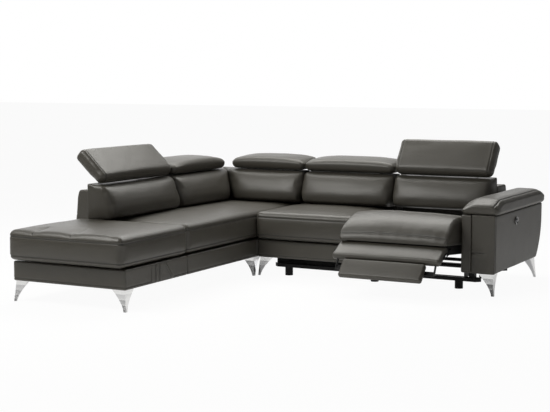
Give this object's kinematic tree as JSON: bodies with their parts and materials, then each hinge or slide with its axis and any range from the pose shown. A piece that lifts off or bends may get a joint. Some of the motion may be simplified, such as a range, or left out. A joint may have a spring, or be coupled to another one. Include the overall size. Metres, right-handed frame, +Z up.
{
  "type": "corner sofa",
  "caption": "Leather corner sofa with a chaise end, cushioned seats, tilting headrests and a power recliner with folding footrest, on chrome corner legs.",
  "frame": {"origin": "centre of the bounding box on the floor", "axes": "+Z up; +X along the recliner wing towards its arm; +Y from the seats' fronts to the back"},
  "size_m": [2.8271, 2.722, 0.9655],
  "materials": {
    "leather": "satin",
    "bracket_steel": "satin",
    "black_steel": "satin",
    "black_plastic": "matte",
    "chrome": "polished"
  },
  "bodies": {
    "frame": {"chaise_base": "leather", "left_base": "leather", "corner_base": "leather", "right_base": "leather", "base_gusset": "leather", "left_back_frame": "leather", "corner_back_frame": "leather", "right_back_frame": "leather", "chaise_cushion": "leather", "left_seat_cushion": "leather", "corner_seat_cushion": "leather", "right_seat_cushion": "leather", "back_cushion_1": "leather", "back_cushion_2": "leather", "back_cushion_3": "leather", "back_cushion_4": "leather", "headrest_bracket_1": "bracket_steel", "headrest_bracket_2": "bracket_steel", "headrest_bracket_3": "bracket_steel", "headrest_bracket_4": "bracket_steel", "arm_frame": "leather", "arm_front_panel": "leather", "arm_pad": "leather", "control_bezel": "chrome", "recliner_chassis": "black_steel", "chrome_leg_1": "chrome", "chrome_leg_2": "chrome", "chrome_leg_3": "chrome", "chrome_leg_4": "chrome", "chrome_leg_5": "chrome", "chrome_leg_6": "chrome", "chrome_leg_7": "chrome", "chrome_leg_8": "chrome"},
    "seat_carriage": {"seat_carriage": "black_steel"},
    "recliner_seat": {"recliner_seat_box": "black_steel", "recliner_seat_cushion": "leather"},
    "footrest": {"footrest_arms": "black_steel", "footrest_pad": "leather"},
    "footrest_links": {"footrest_links": "black_steel"},
    "flipper": {"flipper_bracket": "black_steel", "flipper_pad": "leather"},
    "actuator_body": {"actuator_body": "black_plastic"},
    "actuator_rod": {"actuator_rod": "chrome"},
    "recliner_back": {"recliner_back_frame": "leather", "back_cushion_5": "leather", "headrest_bracket_5": "bracket_steel"},
    "button_open": {"button_open": "black_plastic"},
    "button_close": {"button_close": "black_plastic"},
    "headrest_1": {"headrest_1": "leather", "headrest_arm_1": "bracket_steel"},
    "headrest_2": {"headrest_2": "leather", "headrest_arm_2": "bracket_steel"},
    "headrest_3": {"headrest_3": "leather", "headrest_arm_3": "bracket_steel"},
    "headrest_4": {"headrest_4": "leather", "headrest_arm_4": "bracket_steel"},
    "headrest_5": {"headrest_5": "leather", "headrest_arm_5": "bracket_steel"}
  },
  "joints": [
    {"name": "seat_glide", "type": "slide", "parent": "frame", "child": "seat_carriage", "axis": [0, -1, 0], "range_m": [-0.265, 0.0795]},
    {"name": "seat_tilt", "type": "hinge", "parent": "seat_carriage", "child": "recliner_seat", "pos_m": [0.7595, 0.696, 0.25], "axis": [-1, 0, 0], "range_deg": [-5.1, 1.6]},
    {"name": "footrest_swing", "type": "hinge", "parent": "recliner_seat", "child": "footrest", "pos_m": [0.7595, 0.0865, 0.30533], "axis": [-1, 0, 0], "range_deg": [-58.1, 17.5]},
    {"name": "link_swing", "type": "hinge", "parent": "recliner_seat", "child": "footrest_links", "pos_m": [0.7595, 0.17404, 0.30771], "axis": [-1, 0, 0], "range_deg": [-24.53, 7.43]},
    {"name": "flipper_swing", "type": "hinge", "parent": "footrest", "child": "flipper", "pos_m": [0.7595, -0.02487, 0.24858], "axis": [-1, 0, 0], "range_deg": [-86.1, 25.9]},
    {"name": "actuator_pivot", "type": "hinge", "parent": "recliner_seat", "child": "actuator_body", "pos_m": [0.7595, 0.56127, 0.20156], "axis": [-1, 0, 0], "range_deg": [-4, 4]},
    {"name": "actuator_stroke", "type": "slide", "parent": "actuator_body", "child": "actuator_rod", "axis": [0, -0.9863, 0.1648], "range_m": [-0.03, 0.03]},
    {"name": "back_recline", "type": "hinge", "parent": "frame", "child": "recliner_back", "pos_m": [0.7595, 1.191, 0.328], "axis": [-1, 0, 0], "range_deg": [0, 20]},
    {"name": "headrest_1_ratchet", "type": "hinge", "parent": "frame", "child": "headrest_1", "pos_m": [-1.0245, -0.289, 0.765], "axis": [0, 1, 0], "range_deg": [-39, 13]},
    {"name": "headrest_2_ratchet", "type": "hinge", "parent": "frame", "child": "headrest_2", "pos_m": [-1.0245, 0.531, 0.765], "axis": [0, 1, 0], "range_deg": [0, 52]},
    {"name": "headrest_3_ratchet", "type": "hinge", "parent": "frame", "child": "headrest_3", "pos_m": [-0.6535, 0.972, 0.765], "axis": [1, 0, 0], "range_deg": [0, 52]},
    {"name": "headrest_4_ratchet", "type": "hinge", "parent": "frame", "child": "headrest_4", "pos_m": [0.0335, 0.972, 0.765], "axis": [1, 0, 0], "range_deg": [0, 52]},
    {"name": "headrest_5_ratchet", "type": "hinge", "parent": "recliner_back", "child": "headrest_5", "pos_m": [0.7725, 0.972, 0.765], "axis": [1, 0, 0], "range_deg": [-52, 0]},
    {"name": "button_open_press", "type": "slide", "parent": "frame", "child": "button_open", "axis": [-1, 0, 0], "range_m": [0, 0.002], "stiffness_N_per_m": 400, "springref_m": -0.002},
    {"name": "button_close_press", "type": "slide", "parent": "frame", "child": "button_close", "axis": [-1, 0, 0], "range_m": [0, 0.002], "stiffness_N_per_m": 400, "springref_m": -0.002}
  ],
  "couplings": [
    {"joint": "seat_tilt", "follows": "seat_glide", "rad_per_m": 0.32931},
    {"joint": "footrest_swing", "follows": "seat_glide", "rad_per_m": 3.82},
    {"joint": "link_swing", "follows": "seat_glide", "rad_per_m": 1.6089},
    {"joint": "flipper_swing", "follows": "seat_glide", "rad_per_m": 5.6641},
    {"joint": "actuator_pivot", "follows": "seat_glide", "rad_per_m": -0.19758},
    {"joint": "actuator_stroke", "follows": "seat_glide", "ratio": 0.05849}
  ]
}
